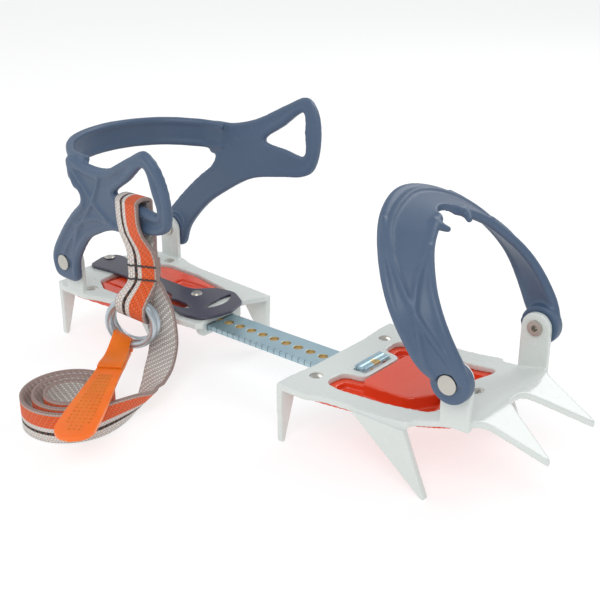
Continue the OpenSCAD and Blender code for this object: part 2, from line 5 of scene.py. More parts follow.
import bmesh
import bpy
from mathutils import Matrix, Vector
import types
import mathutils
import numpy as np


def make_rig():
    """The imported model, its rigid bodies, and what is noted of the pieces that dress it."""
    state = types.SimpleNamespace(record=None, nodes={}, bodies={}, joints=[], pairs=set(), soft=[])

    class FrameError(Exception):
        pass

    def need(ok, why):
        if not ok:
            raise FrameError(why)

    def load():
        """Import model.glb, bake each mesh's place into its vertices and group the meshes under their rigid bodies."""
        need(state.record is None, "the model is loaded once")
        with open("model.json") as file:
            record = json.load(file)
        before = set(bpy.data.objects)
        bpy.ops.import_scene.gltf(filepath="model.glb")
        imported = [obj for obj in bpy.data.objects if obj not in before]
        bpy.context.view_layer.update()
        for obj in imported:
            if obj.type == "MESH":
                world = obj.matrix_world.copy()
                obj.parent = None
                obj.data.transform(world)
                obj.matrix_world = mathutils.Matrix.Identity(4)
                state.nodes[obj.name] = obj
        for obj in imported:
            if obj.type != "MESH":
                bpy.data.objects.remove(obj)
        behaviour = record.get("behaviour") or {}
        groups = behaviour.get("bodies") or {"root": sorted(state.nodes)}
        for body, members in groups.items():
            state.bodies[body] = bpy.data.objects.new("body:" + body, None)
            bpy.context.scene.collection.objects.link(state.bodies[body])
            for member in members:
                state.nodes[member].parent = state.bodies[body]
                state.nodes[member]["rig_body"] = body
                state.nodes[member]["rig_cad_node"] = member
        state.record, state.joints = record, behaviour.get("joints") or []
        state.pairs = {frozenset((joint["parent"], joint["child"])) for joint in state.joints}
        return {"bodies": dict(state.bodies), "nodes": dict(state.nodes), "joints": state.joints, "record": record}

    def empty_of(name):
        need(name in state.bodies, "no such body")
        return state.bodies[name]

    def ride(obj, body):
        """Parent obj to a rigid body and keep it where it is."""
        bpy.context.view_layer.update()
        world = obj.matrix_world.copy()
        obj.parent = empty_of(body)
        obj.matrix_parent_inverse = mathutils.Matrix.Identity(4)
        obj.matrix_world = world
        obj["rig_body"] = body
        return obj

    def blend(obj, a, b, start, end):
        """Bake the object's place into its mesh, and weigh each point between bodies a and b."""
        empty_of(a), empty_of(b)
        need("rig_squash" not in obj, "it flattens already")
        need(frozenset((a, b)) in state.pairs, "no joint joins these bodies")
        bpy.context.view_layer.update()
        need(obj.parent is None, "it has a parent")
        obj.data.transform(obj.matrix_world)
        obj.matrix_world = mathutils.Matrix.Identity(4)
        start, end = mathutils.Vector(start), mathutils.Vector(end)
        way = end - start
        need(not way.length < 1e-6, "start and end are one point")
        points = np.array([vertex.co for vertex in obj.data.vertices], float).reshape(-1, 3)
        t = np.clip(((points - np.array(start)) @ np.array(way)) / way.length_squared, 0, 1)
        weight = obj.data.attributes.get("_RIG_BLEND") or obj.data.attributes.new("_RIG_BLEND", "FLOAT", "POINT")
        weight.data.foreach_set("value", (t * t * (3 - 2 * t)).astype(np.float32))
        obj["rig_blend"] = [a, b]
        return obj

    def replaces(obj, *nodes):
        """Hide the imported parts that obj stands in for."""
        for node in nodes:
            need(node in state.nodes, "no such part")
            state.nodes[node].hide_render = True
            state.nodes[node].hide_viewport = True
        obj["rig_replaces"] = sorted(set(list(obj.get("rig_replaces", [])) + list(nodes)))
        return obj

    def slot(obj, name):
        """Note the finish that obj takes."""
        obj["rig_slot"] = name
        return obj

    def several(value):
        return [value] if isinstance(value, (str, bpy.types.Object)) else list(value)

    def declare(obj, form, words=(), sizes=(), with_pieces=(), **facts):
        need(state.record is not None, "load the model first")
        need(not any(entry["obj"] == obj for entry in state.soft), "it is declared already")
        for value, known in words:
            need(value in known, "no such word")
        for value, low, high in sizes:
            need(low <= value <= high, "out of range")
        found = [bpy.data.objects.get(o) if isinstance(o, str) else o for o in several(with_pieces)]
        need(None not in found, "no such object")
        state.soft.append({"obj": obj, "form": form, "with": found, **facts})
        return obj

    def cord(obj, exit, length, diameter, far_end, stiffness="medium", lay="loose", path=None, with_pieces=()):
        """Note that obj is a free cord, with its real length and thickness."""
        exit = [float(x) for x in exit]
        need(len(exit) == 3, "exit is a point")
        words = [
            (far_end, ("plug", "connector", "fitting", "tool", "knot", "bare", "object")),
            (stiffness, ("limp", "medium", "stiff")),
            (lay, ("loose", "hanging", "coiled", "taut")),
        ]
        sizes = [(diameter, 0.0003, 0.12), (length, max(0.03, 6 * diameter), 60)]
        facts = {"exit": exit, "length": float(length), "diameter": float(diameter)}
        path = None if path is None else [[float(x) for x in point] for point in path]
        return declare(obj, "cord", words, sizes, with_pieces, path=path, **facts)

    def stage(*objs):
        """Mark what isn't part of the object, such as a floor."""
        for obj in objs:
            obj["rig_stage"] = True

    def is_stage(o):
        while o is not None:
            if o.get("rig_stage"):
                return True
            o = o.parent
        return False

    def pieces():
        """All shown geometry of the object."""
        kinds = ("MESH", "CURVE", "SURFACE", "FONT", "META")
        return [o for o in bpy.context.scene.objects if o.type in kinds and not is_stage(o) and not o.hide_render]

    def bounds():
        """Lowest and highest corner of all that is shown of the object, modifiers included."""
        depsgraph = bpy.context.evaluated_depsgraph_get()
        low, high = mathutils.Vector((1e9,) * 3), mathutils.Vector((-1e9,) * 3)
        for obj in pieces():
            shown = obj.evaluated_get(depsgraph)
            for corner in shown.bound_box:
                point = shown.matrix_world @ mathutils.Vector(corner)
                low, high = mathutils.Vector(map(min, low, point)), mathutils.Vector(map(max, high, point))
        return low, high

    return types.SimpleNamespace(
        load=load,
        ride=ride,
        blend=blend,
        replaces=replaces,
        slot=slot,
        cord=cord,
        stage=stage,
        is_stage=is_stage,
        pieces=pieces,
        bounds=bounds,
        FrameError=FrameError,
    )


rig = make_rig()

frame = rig.load()
cad_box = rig.bounds()
MM = 0.001

# Sizes, in millimetres, in the frame's own axes --------------------------------------------
BAIL_PIVOT = (117.0, 56.5)            # X and Z of the toe bail's rivets
BAIL_EYE = 34.7                       # Y of the bail's inner faces at the rivets
BAIL_EYE_WIDTH = 5.6
BAIL_REAR = [(110, 40.4, 56), (103.2, 45, 67.5), (92.2, 45.6, 85.5), (80.2, 36.5, 101.5), (69.4, 20.5, 112.8),
             (64.3, 0, 117.4)]
BAIL_FRONT = [(127.2, 37.4, 56), (118.8, 39.9, 70), (110.2, 38.4, 83), (102, 32.3, 94), (93, 19.5, 105.5),
              (87.5, 0, 112)]
HARNESS_PIVOT = (-124.4, 51.0)        # X and Z of the heel harness's rivets
HARNESS_INNER = 37.0                  # Y of the harness's inner faces at the rivets
LEAN = math.radians(9)                # outward lean of the harness's sides
DROOP = 10.0                          # how far the near eyelet hangs below the far one
JUNCTION = 27.0                       # where the arm, the rear band and the eyelet meet
BAND_RX, BAND_RY = 37.0, 47.0
WEB_WIDTH, WEB_THICK = 15.0, 1.7
LOOP_TOP, LOOP_LOW = 99.5, 44.6
SWING = 26.0                          # the rings face this far towards +X, in degrees
SLANT = 18.0
RING = Vector((-61.9, -49.6, 36.0))
RING_RADIUS = 12.0
COIL = Vector((-60.3, -91.7, 0.0))
FIRST_HOLE, HOLE_PITCH, HOLE_RADIUS = 21.3, 8.0, 2.3


# Shared curves -----------------------------------------------------------------------------
def smooth_line(points, steps=6):
    """A smooth line through the points."""
    points = [Vector(p) for p in points]
    line = []
    for i in range(len(points) - 1):
        a, b = points[max(i - 1, 0)], points[i]
        c, d = points[i + 1], points[min(i + 2, len(points) - 1)]
        for k in range(steps):
            t = k / steps
            second = a - 2.5 * b + 2 * c - d / 2
            third = 1.5 * (b - c) + (d - a) / 2
            line.append(b + t * ((c - a) / 2 + t * (second + t * third)))
    return line + [points[-1]]


def at(line, t):
    """The point a share t of the way along a line of evenly numbered points."""
    k = min(max(t, 0.0), 1.0) * (len(line) - 1)
    i = min(int(k), len(line) - 2)
    return line[i].lerp(line[i + 1], k - i)


def ease(k):
    k = min(max(k, 0.0), 1.0)
    return k * k * (3 - 2 * k)


# Mesh helpers ------------------------------------------------------------------------------
def keep(name, mesh, *finishes):
    """A new object from a mesh in millimetres, with its finishes."""
    mesh.transform(Matrix.Scale(MM, 4))
    piece = bpy.data.objects.new(name, mesh)
    bpy.context.scene.collection.objects.link(piece)
    for finish in finishes:
        mesh.materials.append(finish)
    for face in mesh.polygons:
        face.use_smooth = True
    return piece


def as_mesh(name, bm):
    mesh = bpy.data.meshes.new(name)
    bm.to_mesh(mesh)
    bm.free()
    return mesh


def slab(cells_along, cells_across):
    """A flat slab: X runs 0 to 1 along, Y 0 to 1 across and Z 0 to 1 through, with UV across and along."""
    bm = bmesh.new()
    bmesh.ops.create_grid(bm, x_segments=cells_along, y_segments=cells_across, size=0.5)
    bmesh.ops.translate(bm, verts=bm.verts, vec=(0.5, 0.5, 0))
    bmesh.ops.solidify(bm, geom=bm.faces[:], thickness=1.0)
    lowest = min(v.co.z for v in bm.verts)
    bmesh.ops.translate(bm, verts=bm.verts, vec=(0, 0, -lowest))
    bmesh.ops.recalc_face_normals(bm, faces=bm.faces)
    uv = bm.loops.layers.uv.new("UVMap")
    for face in bm.faces:
        face.material_index = 1 if face.normal.z < -0.5 else 0
        for corner in face.loops:
            corner[uv].uv = (corner.vert.co.y, corner.vert.co.x)
    return bm


def bend_slab(bm, place):
    for v in bm.verts:
        v.co = place(v.co.x, v.co.y, v.co.z)
    bmesh.ops.recalc_face_normals(bm, faces=bm.faces)
    return bm


def add_rod(bm, line, radius, closed=False, taper=None):
    """A round rod along a line, added to bm."""
    curve = bpy.data.curves.new("rod", "CURVE")
    curve.dimensions = "3D"
    curve.bevel_depth = radius
    curve.bevel_resolution = 3
    curve.use_fill_caps = True
    spline = curve.splines.new("POLY")
    spline.points.add(len(line) - 1)
    for i, (point, where) in enumerate(zip(spline.points, line)):
        point.co = (*where, 1)
        point.radius = taper(i / (len(line) - 1)) if taper else 1
    spline.use_cyclic_u = closed
    holder = bpy.data.objects.new("rod", curve)
    bpy.context.scene.collection.objects.link(holder)
    mesh = bpy.data.meshes.new_from_object(holder.evaluated_get(bpy.context.evaluated_depsgraph_get()))
    bm.from_mesh(mesh)
    bpy.data.objects.remove(holder)
    bpy.data.curves.remove(curve)
    bpy.data.meshes.remove(mesh)


def add_disc(bm, radius, low, high, place, segments=40):
    """A disc from low to high along Z, set down by the matrix place."""
    found = bmesh.ops.create_cone(bm, cap_ends=True, segments=segments, radius1=radius, radius2=radius,
                                  depth=high - low)
    bmesh.ops.translate(bm, verts=found["verts"], vec=(0, 0, (low + high) / 2))
    bmesh.ops.transform(bm, verts=found["verts"], matrix=place)


def fused(name, mesh, grain, passes, *finishes):
    """One moulded or pressed skin from overlapping closed shapes: fused at the given grain and softened."""
    rough = bpy.data.objects.new(name, mesh)
    bpy.context.scene.collection.objects.link(rough)
    fuse = rough.modifiers.new("Fuse", "REMESH")
    fuse.mode = "VOXEL"
    fuse.voxel_size = grain
    soften = rough.modifiers.new("Soften", "SMOOTH")
    soften.factor = 0.5
    soften.iterations = passes
    skin = bpy.data.meshes.new_from_object(rough.evaluated_get(bpy.context.evaluated_depsgraph_get()))
    skin.name = name
    skin.materials.clear()
    bpy.data.objects.remove(rough)
    return keep(name, skin, *finishes)


def softened(node, body, grain, passes, *finishes):
    """A copy of a CAD piece with its edges rounded, which takes its place."""
    bm = bmesh.new()
    bm.from_mesh(frame["nodes"][node].data)
    bmesh.ops.remove_doubles(bm, verts=bm.verts, dist=1e-6)
    bmesh.ops.scale(bm, verts=bm.verts, vec=(1 / MM,) * 3)
    piece = fused(node + "_skin", as_mesh(node, bm), grain, passes, *finishes)
    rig.replaces(piece, node)
    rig.slot(piece, SLOTS[node])
    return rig.ride(piece, body)


SLOTS = {part["node"]: part["material_slot"] for part in frame["record"]["subparts"]}


# Shader effects shared by several finishes ---------------------------------------------------
def effect(name, inputs, outputs):
    group = bpy.data.node_groups.new(name, "ShaderNodeTree")
    for label, default in inputs:
        given = group.interface.new_socket(label, in_out="INPUT", socket_type="NodeSocketFloat")
        given.default_value = default
    for label, kind in outputs:
        group.interface.new_socket(label, in_out="OUTPUT", socket_type=kind)
    return group, group.nodes.new("NodeGroupInput"), group.nodes.new("NodeGroupOutput")


def node(tree, kind, links=(), **settings):
    """A new node with its settings made and its inputs linked or set."""
    made = tree.nodes.new(kind)
    for key, value in settings.items():
        setattr(made, key, value)
    for slot_name, value in dict(links).items():
        socket = made.inputs[slot_name]
        if isinstance(value, bpy.types.NodeSocket):
            tree.links.new(value, socket)
        else:
            socket.default_value = value
    return made


def sums(tree, operation, a, b=0.0, c=0.0):
    return node(tree, "ShaderNodeMath", {0: a, 1: b, 2: c}, operation=operation).outputs[0]


def surface_grain():
    """Fine moulding or spray grain, with slow cloudy changes: a height and a mask."""
    group, given, out = effect("Surface grain", [("Fine size", 900.0), ("Cloud size", 30.0), ("Depth", 0.5)],
                               [("Height", "NodeSocketFloat"), ("Cloud", "NodeSocketFloat")])
    where = node(group, "ShaderNodeTexCoord").outputs["Object"]
    fine = node(group, "ShaderNodeTexNoise",
                {"Vector": where, "Scale": given.outputs["Fine size"], "Detail": 3.0})
    cloud = node(group, "ShaderNodeTexNoise",
                 {"Vector": where, "Scale": given.outputs["Cloud size"], "Detail": 4.0})
    height = sums(group, "MULTIPLY", fine.outputs["Fac"], given.outputs["Depth"])
    group.links.new(height, out.inputs["Height"])
    group.links.new(cloud.outputs["Fac"], out.inputs["Cloud"])
    return group


def scuffs():
    """Thin random scratches and specks, as a mask."""
    group, given, out = effect("Scuffs", [("Scale", 120.0), ("Amount", 0.5)], [("Mask", "NodeSocketFloat")])
    where = node(group, "ShaderNodeTexCoord").outputs["Object"]
    stretched = node(group, "ShaderNodeMapping",
                     {"Vector": where, "Rotation": (0.3, 0.5, 0.6), "Scale": (1, 14, 6)})
    noise = node(group, "ShaderNodeTexNoise",
                 {"Vector": stretched.outputs[0], "Scale": given.outputs["Scale"], "Detail": 2.0})
    patch = node(group, "ShaderNodeTexNoise", {"Vector": where, "Scale": 25.0})
    thin = node(group, "ShaderNodeMapRange",
                {"Value": noise.outputs["Fac"], "From Min": 0.66, "From Max": 0.74})
    where_worn = node(group, "ShaderNodeMapRange",
                      {"Value": patch.outputs["Fac"], "From Min": 0.45, "From Max": 0.65})
    both = sums(group, "MULTIPLY", thin.outputs[0], where_worn.outputs[0])
    group.links.new(sums(group, "MULTIPLY", both, given.outputs["Amount"]), out.inputs["Mask"])
    return group


def weave():
    """Webbing: crosswise ribs broken into columns, from UV across (0 to 1) and along (metres)."""
    group, given, out = effect("Weave", [("Columns", 13.0), ("Pitch", 0.0015)],
                               [("Height", "NodeSocketFloat"), ("Across", "NodeSocketFloat"),
                                ("Check", "NodeSocketFloat")])
    uv = node(group, "ShaderNodeSeparateXYZ", {0: node(group, "ShaderNodeTexCoord").outputs["UV"]})
    column = sums(group, "MULTIPLY", uv.outputs[0], given.outputs["Columns"])
    row = sums(group, "DIVIDE", uv.outputs[1], given.outputs["Pitch"])
    shifted = sums(group, "ADD", row, sums(group, "MULTIPLY", sums(group, "FLOOR", column), 0.5))
    rib = sums(group, "ABSOLUTE", sums(group, "SINE", sums(group, "MULTIPLY", shifted, math.pi)))
    strand = sums(group, "ABSOLUTE", sums(group, "SINE", sums(group, "MULTIPLY", column, math.pi)))
    height = sums(group, "MULTIPLY", sums(group, "POWER", rib, 0.6), sums(group, "POWER", strand, 0.45))
    group.links.new(height, out.inputs["Height"])
    group.links.new(uv.outputs[0], out.inputs["Across"])
    check = sums(group, "GREATER_THAN", sums(group, "FRACT", sums(group, "MULTIPLY", shifted, 0.5)), 0.5)
    group.links.new(check, out.inputs["Check"])
    return group


GRAIN, SCUFFS, WEAVE = surface_grain(), scuffs(), weave()


def use(tree, group, **values):
    made = tree.nodes.new("ShaderNodeGroup")
    made.node_tree = group
    for label, value in values.items():
        made.inputs[label.replace("_", " ")].default_value = value
    return made


def tone(tree, factor, dark, light):
    """A colour between dark and light."""
    mix = node(tree, "ShaderNodeMix", data_type="RGBA")
    mix.inputs[6].default_value = (*dark, 1)
    mix.inputs[7].default_value = (*light, 1)
    tree.links.new(factor, mix.inputs[0])
    return mix.outputs[2]


def over(tree, factor, under, top):
    """The colour top laid on the colour under where factor is 1."""
    mix = node(tree, "ShaderNodeMix", data_type="RGBA")
    for socket, value in ((mix.inputs[6], under), (mix.inputs[7], top)):
        if isinstance(value, bpy.types.NodeSocket):
            tree.links.new(value, socket)
        else:
            socket.default_value = (*value, 1)
    tree.links.new(factor, mix.inputs[0])
    return mix.outputs[2]


def finish(name, **shader):
    """A material with its shader's plain values set."""
    material = bpy.data.materials.new(name)
    material.use_nodes = True
    bsdf = material.node_tree.nodes["Principled BSDF"]
    for label, value in shader.items():
        bsdf.inputs[label.replace("_", " ")].default_value = value
    return material, material.node_tree, bsdf


def bump(tree, bsdf, height, distance, strength=1.0):
    made = node(tree, "ShaderNodeBump", {"Height": height, "Distance": distance, "Strength": strength})
    tree.links.new(made.outputs[0], bsdf.inputs["Normal"])


def roughen(tree, bsdf, mask, low, high):
    """Roughness that varies between low and high with a mask."""
    rough = node(tree, "ShaderNodeMapRange", {"Value": mask, "To Min": low, "To Max": high})
    tree.links.new(rough.outputs[0], bsdf.inputs["Roughness"])


def powder_coat():
    """Glossy light grey paint on the spiked plates."""
    material, tree, bsdf = finish("Powder coat", Coat_Weight=0.5, Coat_Roughness=0.08, Specular_IOR_Level=0.5)
    grain = use(tree, GRAIN, Fine_size=700.0, Cloud_size=22.0, Depth=0.5)
    worn = use(tree, SCUFFS, Scale=90.0, Amount=0.25)
    paint = tone(tree, grain.outputs["Cloud"], (0.60, 0.645, 0.615), (0.69, 0.73, 0.70))
    tree.links.new(over(tree, worn.outputs[0], paint, (0.48, 0.50, 0.49)), bsdf.inputs["Base Color"])
    roughen(tree, bsdf, grain.outputs["Cloud"], 0.2, 0.34)
    bump(tree, bsdf, grain.outputs["Height"], 0.00005)
    return material


def red_moulding():
    """Glossy red plastic of the anti-ball plates."""
    material, tree, bsdf = finish("Red moulding", Specular_IOR_Level=0.6, Coat_Weight=0.3,
                                  Coat_Roughness=0.15)
    grain = use(tree, GRAIN, Fine_size=500.0, Cloud_size=40.0, Depth=0.6)
    tree.links.new(tone(tree, grain.outputs["Cloud"], (0.70, 0.042, 0.009), (0.84, 0.080, 0.022)),
                   bsdf.inputs["Base Color"])
    roughen(tree, bsdf, grain.outputs["Cloud"], 0.24, 0.36)
    bump(tree, bsdf, grain.outputs["Height"], 0.00006)
    return material


def blue_moulding():
    """Satin blue-grey plastic of the two harnesses."""
    material, tree, bsdf = finish("Blue moulding", Specular_IOR_Level=0.5)
    grain = use(tree, GRAIN, Fine_size=1300.0, Cloud_size=35.0, Depth=0.8)
    worn = use(tree, SCUFFS, Scale=140.0, Amount=0.3)
    plastic = tone(tree, grain.outputs["Cloud"], (0.052, 0.090, 0.155), (0.076, 0.120, 0.195))
    tree.links.new(over(tree, worn.outputs[0], plastic, (0.16, 0.21, 0.30)), bsdf.inputs["Base Color"])
    roughen(tree, bsdf, grain.outputs["Cloud"], 0.36, 0.5)
    bump(tree, bsdf, grain.outputs["Height"], 0.00008)
    return material


def zinc(name="Bright zinc", light=(0.50, 0.58, 0.62), dark=(0.36, 0.44, 0.50)):
    """Zinc plate with a faint bluish bloom."""
    material, tree, bsdf = finish(name, Metallic=0.85)
    grain = use(tree, GRAIN, Fine_size=1500.0, Cloud_size=60.0, Depth=0.6)
    worn = use(tree, SCUFFS, Scale=160.0, Amount=0.6)
    plate = tone(tree, grain.outputs["Cloud"], dark, light)
    tree.links.new(over(tree, worn.outputs[0], plate, (0.66, 0.68, 0.68)), bsdf.inputs["Base Color"])
    roughen(tree, bsdf, grain.outputs["Cloud"], 0.2, 0.4)
    bump(tree, bsdf, grain.outputs["Height"], 0.00004)
    return material


def bar_zinc():
    """The linking bar's zinc: a blue bloom, golden size holes and a row of tick marks."""
    material, tree, bsdf = finish("Bar zinc", Metallic=0.6)
    grain = use(tree, GRAIN, Fine_size=1500.0, Cloud_size=45.0, Depth=0.6)
    where = node(tree, "ShaderNodeSeparateXYZ", {0: node(tree, "ShaderNodeTexCoord").outputs["Object"]})
    step = sums(tree, "DIVIDE", sums(tree, "SUBTRACT", where.outputs[0], FIRST_HOLE * MM), HOLE_PITCH * MM)
    share = sums(tree, "FRACT", sums(tree, "ADD", step, 100.5))
    off = sums(tree, "MULTIPLY", sums(tree, "SUBTRACT", share, 0.5), HOLE_PITCH * MM)
    away = sums(tree, "SQRT", sums(tree, "ADD", sums(tree, "MULTIPLY", off, off),
                                   sums(tree, "MULTIPLY", where.outputs[1], where.outputs[1])))
    hole = node(tree, "ShaderNodeMapRange", {"Value": away, "From Min": (HOLE_RADIUS + 0.35) * MM,
                                             "From Max": (HOLE_RADIUS + 0.05) * MM})
    bloom = tone(tree, grain.outputs["Cloud"], (0.29, 0.47, 0.57), (0.52, 0.66, 0.70))
    half_steps = sums(tree, "ADD", sums(tree, "MULTIPLY", step, 2), 200.0)
    rows = sums(tree, "LESS_THAN", sums(tree, "FRACT", half_steps), 0.16)
    edge = sums(tree, "LESS_THAN", where.outputs[1], -8.6 * MM)
    tick = sums(tree, "MULTIPLY", sums(tree, "MULTIPLY", rows, edge), 0.6)
    marked = over(tree, tick, bloom, (0.10, 0.13, 0.16))
    tree.links.new(over(tree, hole.outputs[0], marked, (0.50, 0.36, 0.15)), bsdf.inputs["Base Color"])
    roughen(tree, bsdf, grain.outputs["Cloud"], 0.26, 0.42)
    bump(tree, bsdf, grain.outputs["Height"], 0.00004)
    return material


def navy_lacquer():
    """Satin dark lacquer of the size lever."""
    material, tree, bsdf = finish("Navy lacquer", Coat_Weight=0.35, Coat_Roughness=0.2)
    grain = use(tree, GRAIN, Fine_size=900.0, Cloud_size=50.0, Depth=0.5)
    worn = use(tree, SCUFFS, Scale=150.0, Amount=0.5)
    lacquer = tone(tree, grain.outputs["Cloud"], (0.028, 0.028, 0.052), (0.05, 0.048, 0.08))
    tree.links.new(over(tree, worn.outputs[0], lacquer, (0.16, 0.16, 0.19)), bsdf.inputs["Base Color"])
    roughen(tree, bsdf, grain.outputs["Cloud"], 0.3, 0.42)
    bump(tree, bsdf, grain.outputs["Height"], 0.00004)
    return material


def striped(name, bands, check_depth, tint):
    """Webbing with lengthwise bands, given as (start across, colour), over the weave."""
    material, tree, bsdf = finish(name, Sheen_Weight=0.12, Sheen_Roughness=0.5, Specular_IOR_Level=0.25)
    threads = use(tree, WEAVE, Columns=13.0, Pitch=0.0015)
    ramp = node(tree, "ShaderNodeValToRGB", {"Fac": threads.outputs["Across"]})
    ramp.color_ramp.interpolation = "CONSTANT"
    stops = ramp.color_ramp.elements
    stops[0].position, stops[0].color = bands[0][0], (*bands[0][1], 1)
    stops[1].position, stops[1].color = bands[1][0], (*bands[1][1], 1)
    for start, colour in bands[2:]:
        stops.new(start).color = (*colour, 1)
    checked = over(tree, sums(tree, "MULTIPLY", threads.outputs["Check"], check_depth), ramp.outputs[0], tint)
    # Painted shade: the colour darkens towards near black in the weave's gaps between ribs and strands.
    gaps = sums(tree, "SUBTRACT", 1.0, threads.outputs["Height"])
    dark = sums(tree, "MULTIPLY", sums(tree, "POWER", gaps, 2.0), 0.55)
    tree.links.new(over(tree, dark, checked, (0.05, 0.03, 0.03)), bsdf.inputs["Base Color"])
    fuzz = node(tree, "ShaderNodeTexNoise", {"Vector": node(tree, "ShaderNodeTexCoord").outputs["Object"],
                                             "Scale": 2500.0})
    roughen(tree, bsdf, fuzz.outputs["Fac"], 0.6, 0.85)
    fibres = sums(tree, "MULTIPLY", fuzz.outputs["Fac"], 0.15)
    bump(tree, bsdf, sums(tree, "ADD", threads.outputs["Height"], fibres), 0.0004)
    return material


LIGHT, BLACK, ORANGE, EDGE = (0.78, 0.75, 0.71), (0.02, 0.02, 0.022), (0.84, 0.115, 0.02), (0.55, 0.42, 0.38)


def thread():
    """Dull black sewing thread."""
    material, tree, bsdf = finish("Sewing thread", Sheen_Weight=0.2)
    grain = use(tree, GRAIN, Fine_size=3000.0, Cloud_size=400.0, Depth=1.0)
    tree.links.new(tone(tree, grain.outputs["Cloud"], (0.012, 0.012, 0.014), (0.05, 0.05, 0.055)),
                   bsdf.inputs["Base Color"])
    roughen(tree, bsdf, grain.outputs["Cloud"], 0.6, 0.8)
    bump(tree, bsdf, grain.outputs["Height"], 0.0002)
    return material


def orange_rubber():
    """Translucent orange rubber of the pull tab."""
    material, tree, bsdf = finish("Orange rubber", Subsurface_Weight=0.45, Subsurface_Scale=0.006,
                                  Specular_IOR_Level=0.5)
    grain = use(tree, GRAIN, Fine_size=600.0, Cloud_size=55.0, Depth=0.6)
    tree.links.new(tone(tree, grain.outputs["Cloud"], (0.80, 0.13, 0.004), (0.92, 0.21, 0.010)),
                   bsdf.inputs["Base Color"])
    roughen(tree, bsdf, grain.outputs["Cloud"], 0.28, 0.45)
    bump(tree, bsdf, grain.outputs["Height"], 0.0001)
    return material


paint, red, blue = powder_coat(), red_moulding(), blue_moulding()
nickel = zinc("Nickel", (0.62, 0.60, 0.55), (0.42, 0.40, 0.36))
ring_zinc = zinc("Ring zinc", (0.60, 0.66, 0.69), (0.40, 0.47, 0.52))
web_face = striped("Webbing face", [(0.0, LIGHT), (0.24, BLACK), (0.34, LIGHT), (0.48, ORANGE), (0.92, EDGE)],
                   0.12, (0.92, 0.40, 0.22))
web_back = striped("Webbing back", [(0.0, LIGHT), (0.93, EDGE)], 0.5, (0.34, 0.27, 0.25))
black_thread, rubber = thread(), orange_rubber()


# Toe bail ------------------------------------------------------------------------------------
def facing_out(pivot, y, side):
    """Where a disc stands on a pivot's axis at y, with its own Z outward on the given side."""
    return Matrix.Translation((pivot[0], y, pivot[1])) @ Matrix.Rotation(math.radians(-90 * side), 4, "X")


def mirrored(points):
    return [(x, -y, z) for x, y, z in points] + [(x, y, z) for x, y, z in reversed(points[:-1])]


def make_toe_bail():
    rear, front = smooth_line(mirrored(BAIL_REAR), 12), smooth_line(mirrored(BAIL_FRONT), 12)

    def outward(u):
        run = at(rear, u + 0.01) + at(front, u + 0.01) - at(rear, u - 0.01) - at(front, u - 0.01)
        return run.cross(at(front, u) - at(rear, u)).normalized() * -1

    def on_wall(u, v, lift=0.0):
        """A point a share u round the bail and v from its rear to its front edge."""
        v = 0.5 + (v - 0.5) * (0.74 + 0.26 * ease(min(u, 1 - u) / 0.09))
        return at(rear, u).lerp(at(front, u), v) + outward(u) * lift

    bm = bend_slab(slab(120, 8), lambda u, v, w: on_wall(u, v, (w - 0.5) * 3.2))
    steps = [i / 119 for i in range(120)]
    for v in (0.0, 1.0):
        add_rod(bm, [on_wall(u, v * 0.94 + 0.03) for u in steps], 2.35,
                taper=lambda t: 0.6 + 0.4 * ease(min(t, 1 - t) / 0.06))
    for side in (0, 1):
        def limb(u, v, lift=1.75, side=side):
            return on_wall(u if side == 0 else 1 - u, v, lift)
        spans = [((0.02, 0.86), (0.07, 0.84), (0.13, 0.68), (0.2, 0.46), (0.27, 0.28), (0.34, 0.1),
                  (0.38, 0.03)),
                 ((0.03, 0.16), (0.08, 0.2), (0.14, 0.36), (0.2, 0.5), (0.27, 0.68), (0.33, 0.84),
                  (0.38, 0.97)),
                 ((0.3, 0.2), (0.36, 0.17), (0.41, 0.2), (0.46, 0.24), (0.5, 0.25))]
        for span in spans:
            path = smooth_line([Vector((u, v, 0)) for u, v in span], 8)
            add_rod(bm, [limb(p.x, p.y) for p in path], 1.3)
        y = -1 if side == 0 else 1
        place = facing_out(BAIL_PIVOT, y * BAIL_EYE, y)
        add_disc(bm, 9.2, 0, BAIL_EYE_WIDTH - 0.3, place)
        add_rod(bm, [place @ Vector((7.6 * math.cos(a), 7.6 * math.sin(a), BAIL_EYE_WIDTH - 1.5))
                     for a in [math.radians(10 * i) for i in range(36)]], 1.6, closed=True)
    for y in (-1, 1):
        tip = [Vector((87, y * 11.5, 110.6)), Vector((91, y * 10.2, 108.8)), Vector((94, y * 7.6, 107.2))]
        add_rod(bm, smooth_line(tip, 6), 2.8, taper=lambda t: 1 - 0.6 * t)
    cuts = bmesh.new()
    add_disc(cuts, 7.0, 90, 130, Matrix.Translation((90.8, 0, 0)))
    for y in (-1, 1):
        place = facing_out(BAIL_PIVOT, y * (BAIL_EYE + BAIL_EYE_WIDTH), y)
        add_disc(cuts, 4.9, 0.0, 8, place)
        add_disc(cuts, 2.7, -12, 8, place)
    block = bmesh.ops.create_cube(cuts, size=1.0)
    bmesh.ops.scale(cuts, verts=block["verts"], vec=(26, 2 * BAIL_EYE, 22))
    bmesh.ops.translate(cuts, verts=block["verts"], vec=(BAIL_PIVOT[0], 0, BAIL_PIVOT[1] - 2))
    return carved("toe_bail_moulding", bm, cuts, 0.58, 3, blue)


